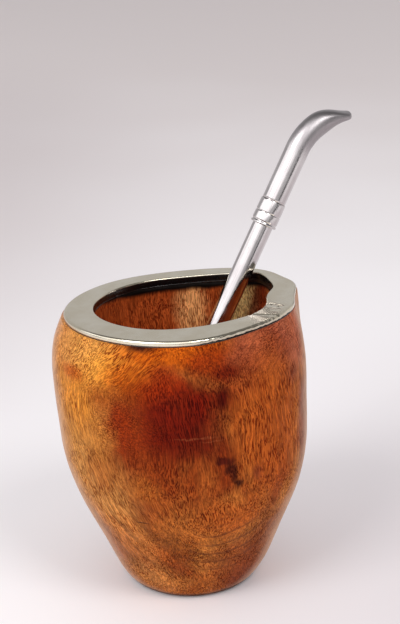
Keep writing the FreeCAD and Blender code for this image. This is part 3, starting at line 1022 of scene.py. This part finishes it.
def spunPiece(name, outline):
    # A closed outline of radius and height, spun round the straw's axis
    angles = roundAngles(straw["columns"])
    rows = [strawPlace(planRow(angles, radius, height)) for radius, height in outline]
    return turnOutwards(gridMesh(name, rows, closedAcross=True))


def buildStem():
    outer = straw["stemRadius"]
    inner = outer - straw["stemWall"]
    heights = np.linspace(straw["stemLow"], straw["stemHigh"], 60)
    outline = [(outer, height) for height in heights]
    outline += [(inner, height) for height in reversed(heights)]
    return spunPiece("strawStem", outline)


def buildCollar():
    low, radius, bore = straw["collarLow"], straw["collarRadius"], straw["stemRadius"] + 0.05
    outline = [(radius - depth, low + rise) for depth, rise in straw["collarSteps"]]
    return spunPiece("strawCollar", [(bore, low), *outline, (bore, straw["collarHigh"])])


# Strainer at the foot of the straw, with a grid of punched holes

strainer = {
    "columns": 72,
    "wall": 0.5,
    "footRises": (0.02, 0.15, 0.4, 0.8),
    "bodyRows": 52,
    "holeDiameter": 1.3,
    "holePitch": 2.9,
    "holeRows": 7,
    "holeColumns": 3,
    "holesMiddle": 17.1,
    "drillLength": 16.4,
    # Rays start this far from the axis
    "rayStart": 20.0,
}


def strainerReach(surface, point, way):
    # How far the surface lies from the axis, seen from a far point of the standing straw
    start = Vector(strawPlace(np.array(point)) * mm)
    hit = surface.ray_cast(start, Vector(-way))[0]
    return strainer["rayStart"] - (hit - start).length / mm


def strainerSize(surface, run):
    # Half thickness and half width at a run along the axis, read between the holes
    far = strainer["rayStart"]
    halfWidth = strainerReach(surface, (0.0, far, run), strawSideWay)
    beside = min(strainer["holePitch"] / 2, halfWidth * 0.4)
    atSide = strainerReach(surface, (far, beside, run), strawBendWay)
    return atSide / math.sqrt(1 - (beside / halfWidth) ** 2), halfWidth


def strainerRow(size, run, inset, angles):
    row = planRow(angles, 1.0, run) * (size[0] - inset, size[1] - inset, 1.0)
    return strawPlace(row)


def makeHolesTree():
    # Punches a grid of round holes through the piece it is given
    tree = bpy.data.node_groups.new("punchedHoles", "GeometryNodeTree")
    sockets = {
        "Geometry": "Geometry", "Hole Diameter": "Float", "Pitch": "Float", "Rows": "Int",
        "Columns": "Int", "Drill Length": "Float", "Middle": "Vector", "Turn": "Vector",
        "Material": "Material",
    }
    for name, kind in sockets.items():
        tree.interface.new_socket(name, in_out="INPUT", socket_type="NodeSocket" + kind)
    tree.interface.new_socket("Geometry", in_out="OUTPUT", socket_type="NodeSocketGeometry")
    given = tree.nodes.new("NodeGroupInput").outputs
    width, height = (
        times(tree, mathNode(tree, "SUBTRACT", given[name], 1.0), given["Pitch"])
        for name in ("Columns", "Rows")
    )
    grid = addNode(tree, "GeometryNodeMeshGrid", {
        "Size X": width, "Size Y": height,
        "Vertices X": given["Columns"], "Vertices Y": given["Rows"],
    })
    drill = addNode(tree, "GeometryNodeMeshCylinder", {
        "Vertices": 28, "Radius": mathNode(tree, "DIVIDE", given["Hole Diameter"], 2.0),
        "Depth": given["Drill Length"],
    })
    drills = addNode(tree, "GeometryNodeInstanceOnPoints", {
        "Points": grid.outputs["Mesh"], "Instance": drill.outputs["Mesh"],
    })
    turn = addNode(tree, "FunctionNodeEulerToRotation", {0: given["Turn"]})
    placed = addNode(tree, "GeometryNodeTransform", {
        "Geometry": drills.outputs["Instances"], "Translation": given["Middle"],
        "Rotation": turn.outputs[0],
    })
    solid = addNode(tree, "GeometryNodeRealizeInstances", {"Geometry": placed.outputs["Geometry"]})
    punched = addNode(tree, "GeometryNodeMeshBoolean", {
        "Mesh 1": given["Geometry"], "Mesh 2": solid.outputs["Geometry"],
    }, operation="DIFFERENCE", solver="EXACT")
    whole = addNode(tree, "GeometryNodeRealizeInstances", {"Geometry": punched.outputs["Mesh"]})
    finished = addNode(tree, "GeometryNodeSetMaterial", {
        "Geometry": whole.outputs["Geometry"], "Material": given["Material"],
    })
    out = tree.nodes.new("NodeGroupOutput").inputs
    tree.links.new(finished.outputs["Geometry"], out["Geometry"])
    return tree


def appliedTree(piece, tree, values):
    # Runs the tree on the piece and keeps what comes out as its plain mesh
    modifier = piece.modifiers.new(tree.name, "NODES")
    modifier.node_group = tree
    for item in tree.interface.items_tree:
        if item.item_type == "SOCKET" and item.in_out == "INPUT" and item.name in values:
            modifier[item.identifier] = values[item.name]
    graph = bpy.context.evaluated_depsgraph_get()
    mesh = bpy.data.meshes.new_from_object(piece.evaluated_get(graph))
    piece.modifiers.clear()
    piece.data = mesh
    mesh.shade_smooth()
    mesh.set_sharp_from_angle(angle=math.radians(40))
    return piece


def buildStrainer(material):
    surface = cadSurface("straw_filter")
    heights = (nodePoints("straw_filter") - strawBase) @ strawAxis
    foot, top, wall = heights.min(), heights.max(), strainer["wall"]
    angles = roundAngles(strainer["columns"])
    runs = [foot + rise for rise in strainer["footRises"]]
    runs += list(np.linspace(foot + 1.4, top - 0.02, strainer["bodyRows"]))
    sizes = [strainerSize(surface, max(run, foot + 0.1)) for run in runs]
    spots = list(zip(sizes, runs))
    rows = [strainerRow(size, run, 0.0, angles) for size, run in spots]
    rows += [
        strainerRow(size, run, wall, angles) for size, run in reversed(spots) if run > foot + wall
    ]
    ends = [tuple(strawPlace((0.0, 0.0, run))) for run in (runs[0], foot + wall)]
    piece = turnOutwards(gridMesh("strawStrainer", rows, startPole=ends[0], endPole=ends[1]))
    ways = Matrix((strawSideWay, strawAxis, strawBendWay)).transposed()
    return appliedTree(piece, makeHolesTree(), {
        "Hole Diameter": strainer["holeDiameter"] * mm,
        "Pitch": strainer["holePitch"] * mm,
        "Rows": strainer["holeRows"],
        "Columns": strainer["holeColumns"],
        "Drill Length": strainer["drillLength"] * mm,
        "Middle": tuple(strawPlace((0.0, 0.0, foot + strainer["holesMiddle"])) * mm),
        "Turn": tuple(ways.to_euler()),
        "Material": material,
    })


def makeSteel():
    material, tree, shader, place = newMaterial("polishedSteel", {"Metallic": 1.0})
    turn = tuple(Matrix((strawBendWay, strawSideWay, strawAxis)).to_euler())
    scuffs = useGroup(tree, scuffGroup, {
        "Place": place, "Turn": turn, "Length": 60.0, "Width": 0.3, "Speck Size": 0.35,
    })
    dark, pale = (shade(*colour) for colour in straw["colours"])
    colour = mixColour(tree, rampTo(tree, scuffs["Cloud"], 0.3, 0.7), dark, pale)
    hairlines = times(tree, scuffs["Hairlines"], 0.5)
    colour = mixColour(tree, hairlines, colour, shade(*straw["hairlineColour"]))
    rough = rampTo(tree, scuffs["Cloud"], 0.3, 0.75, 0.10, 0.20)

    # The bend and the flattened tip are rougher from use, and their colour is painted darker grey
    # there, a painted reflection of the flattened bend
    bend = tuple(strawPlace(bendPlace(straw["bendRadius"] * 0.75)[0]))
    bendPatch = patchMask(tree, place, bend, straw["bendGreyReach"], 0.35)
    colour = mixColour(tree, times(tree, bendPatch, 0.75), colour, shade(*straw["bendReflectionGrey"]))
    rough = mathNode(tree, "ADD", rough, times(tree, bendPatch, 0.22))
    rough = mathNode(tree, "ADD", rough, times(tree, scuffs["Hairlines"], 0.06))
    joinNodes(tree, shader, colour, rough, scuffs["Hairlines"], 0.003)
    return material


print("building the straw")
steel = makeSteel()
finishPiece(buildMouthpiece(), steel, "straw_metal", "straw_mouthpiece")
finishPiece(buildStem(), steel, "straw_metal", "straw_stem")
finishPiece(buildCollar(), steel, "straw_metal", "straw_ferrule")
finishPiece(buildStrainer(steel), steel, "straw_metal", "straw_filter")


# Floor, light and camera

studio = {
    "floorSize": 6.0,
    "floorFront": -0.55,
    "floorColour": (250, 248, 250),
    "floorFar": (228, 220, 219),
    "floorMiddle": (-100, -250, 0),
    "floorFade": (350.0, 1500.0),
    "airColour": (253, 251, 253),
    "airStrength": 0.66,
    "keyPower": 8.5,
    "keySize": 0.7,
    "keyPlace": (-0.75, -0.75, 1.15),
    "fillPower": 5.5,
    "fillSize": 0.5,
    "fillPlace": (0.6, -0.7, 1.2),
    "ceilingLevel": 0.18,
    # Heights in degrees where one part of the studio passes into the next
    "floorTo": (-3.0, 0.5),
    "lowTo": (11.0, 19.0),
    "ceilingFrom": (66.0, 74.0),
    "backCeilingFrom": (34.0, 46.0),
}

viewpoint = {
    "place": (0.0047, -0.4466, 0.2578),
    "pitch": math.radians(19.757),
    "yaw": math.radians(0.2276),
    "roll": 0.042,
    "sensor": 36.0,
    "lens": 36.0 * 1400 / 624,
}

floorPatches = [
    ("shadedRight", (210, -90, 0), (150, 230, 10), 0.8, (208, 198, 201), 0.9),
    ("shadedLeft", (-230, 520, 0), (170, 420, 10), 0.7, (212, 203, 203), 0.8),
]

# How bright polished metal sees the studio: direction in degrees from the front,
# anticlockwise seen from above, with the level there. Low down, beyond the floor's
# edge, and higher up.
lowStudio = (
    (-180, 0.60), (-150, 0.60), (-128, 0.48), (-112, 0.80), (-90, 0.80), (-84, 0.25),
    (-78, 0.25), (-70, 0.85), (-40, 1.0), (-10, 0.95), (2, 0.62), (36, 0.60), (40, 0.22),
    (44, 0.22), (50, 0.62), (72, 0.85), (82, 0.12), (96, 0.15), (104, 0.75), (130, 0.9),
    (148, 0.30), (160, 0.55), (180, 0.60),
)
beyondFloor = ((-180, 0.6), (-100, 0.9), (-12, 0.9), (2, 0.16), (64, 0.16), (74, 0.8), (180, 0.6))
highStudio = (
    (-180, 0.56), (-130, 0.50), (-112, 0.50), (-104, 1.6), (30, 1.6), (38, 0.15), (100, 0.15),
    (112, 0.50), (180, 0.56),
)


def buildFloor():
    half, front = studio["floorSize"] / 2, studio["floorFront"]
    back = front + studio["floorSize"]
    corners = [(-half, front, 0), (half, front, 0), (half, back, 0), (-half, back, 0)]
    mesh = bpy.data.meshes.new("paperFloor")
    mesh.from_pydata(corners, [], [(0, 1, 2, 3)])
    floor = bpy.data.objects.new("paperFloor", mesh)
    scene.collection.objects.link(floor)
    settings = {"Roughness": 0.75, "Specular IOR Level": 0.15}
    material, tree, shader, place = newMaterial("paleFloor", settings)
    reach = vectorNode(tree, "LENGTH", vectorNode(tree, "SUBTRACT", place, studio["floorMiddle"]))
    cloud = times(tree, noiseNode(tree, place, 0.006, 1.0), 300.0)
    far = rampTo(tree, mathNode(tree, "ADD", reach, cloud), *studio["floorFade"])
    colour = mixColour(tree, far, shade(*studio["floorColour"]), shade(*studio["floorFar"]))
    joinNodes(tree, shader, layPatches(tree, place, colour, floorPatches))
    floor.data.materials.append(material)


def addLamp(name, place, size, power):
    data = bpy.data.lights.new(name, "AREA")
    data.shape = "SQUARE"
    data.size = size
    data.energy = power
    lamp = bpy.data.objects.new(name, data)
    lamp.location = place
    aim = Vector((0.0, 0.0, 0.06)) - Vector(place)
    lamp.rotation_euler = aim.to_track_quat("-Z", "Y").to_euler()
    scene.collection.objects.link(lamp)


def levelRound(tree, azimuth, levels):
    # A level for each direction. A ramp holds colours up to 1 only, so levels are halved.
    inputs = {"Value": azimuth, "From Min": -180.0, "From Max": 180.0}
    share = addNode(tree, "ShaderNodeMapRange", inputs)
    ramp = addNode(tree, "ShaderNodeValToRGB", {0: share.outputs["Result"]})
    stops = ramp.color_ramp.elements
    for direction, level in levels[1:-1]:
        stops.new((direction + 180) / 360)
    for stop, (direction, level) in zip(stops, levels):
        stop.color = (level / 2, level / 2, level / 2, 1.0)
    return times(tree, ramp.outputs["Color"], 2.0)


def buildWorld():
    # Even air for soft light. Polished metal sees a studio with screens and a dim ceiling.
    world = bpy.data.worlds.new("studioAir")
    scene.world = world
    world.use_nodes = True
    tree = world.node_tree
    way = tree.nodes.new("ShaderNodeTexCoord").outputs["Generated"]
    right, backward, up = addNode(tree, "ShaderNodeSeparateXYZ", {0: way}).outputs
    azimuth = mathNode(tree, "ARCTAN2", right, times(tree, backward, -1.0))
    azimuth = mathNode(tree, "DEGREES", azimuth)
    lift = mathNode(tree, "DEGREES", mathNode(tree, "ARCSINE", up))
    parts = (lowStudio, beyondFloor, highStudio)
    low, beyond, high = (levelRound(tree, azimuth, part) for part in parts)
    level = mixValue(tree, rampTo(tree, lift, *studio["floorTo"]), beyond, low)
    level = mixValue(tree, rampTo(tree, lift, *studio["lowTo"]), level, high)
    atBack = rampTo(tree, lift, *studio["backCeilingFrom"])
    atBack = times(tree, rampTo(tree, backward, -0.1, 0.1), atBack)
    ceiling = mathNode(tree, "MAXIMUM", rampTo(tree, lift, *studio["ceilingFrom"]), atBack)
    level = mixValue(tree, ceiling, level, studio["ceilingLevel"])
    seen = tree.nodes.new("ShaderNodeLightPath").outputs
    mirrored = mathNode(tree, "MAXIMUM", seen["Is Glossy Ray"], seen["Is Transmission Ray"])
    level = mixValue(tree, mirrored, studio["airStrength"], level)
    level = mixValue(tree, seen["Is Camera Ray"], level, 1.0)
    background = tree.nodes["Background"]
    background.inputs["Color"].default_value = shade(*studio["airColour"])
    tree.links.new(level, background.inputs["Strength"])


def buildCamera():
    # The photograph's viewpoint
    data = bpy.data.cameras.new("photoView")
    data.sensor_width = viewpoint["sensor"]
    data.lens = viewpoint["lens"]
    data.clip_start = 0.01
    data.clip_end = 20.0
    camera = bpy.data.objects.new("photoView", data)
    pitch, yaw, roll = (viewpoint[name] for name in ("pitch", "yaw", "roll"))
    ahead = math.cos(pitch)
    forward = Vector((math.sin(yaw) * ahead, math.cos(yaw) * ahead, -math.sin(pitch)))
    level = Vector((math.cos(yaw), -math.sin(yaw), 0.0))
    lift = level.cross(forward)
    right = math.cos(roll) * level - math.sin(roll) * lift
    up = math.sin(roll) * level + math.cos(roll) * lift
    turn = Matrix((right, up, -forward)).transposed().to_4x4()
    camera.matrix_world = Matrix.Translation(viewpoint["place"]) @ turn
    scene.collection.objects.link(camera)
    scene.camera = camera


print("setting the studio")
buildFloor()
addLamp("keyLamp", studio["keyPlace"], studio["keySize"], studio["keyPower"])
addLamp("fillLamp", studio["fillPlace"], studio["fillSize"], studio["fillPower"])
buildWorld()
buildCamera()
scene.view_settings.view_transform = "Standard"
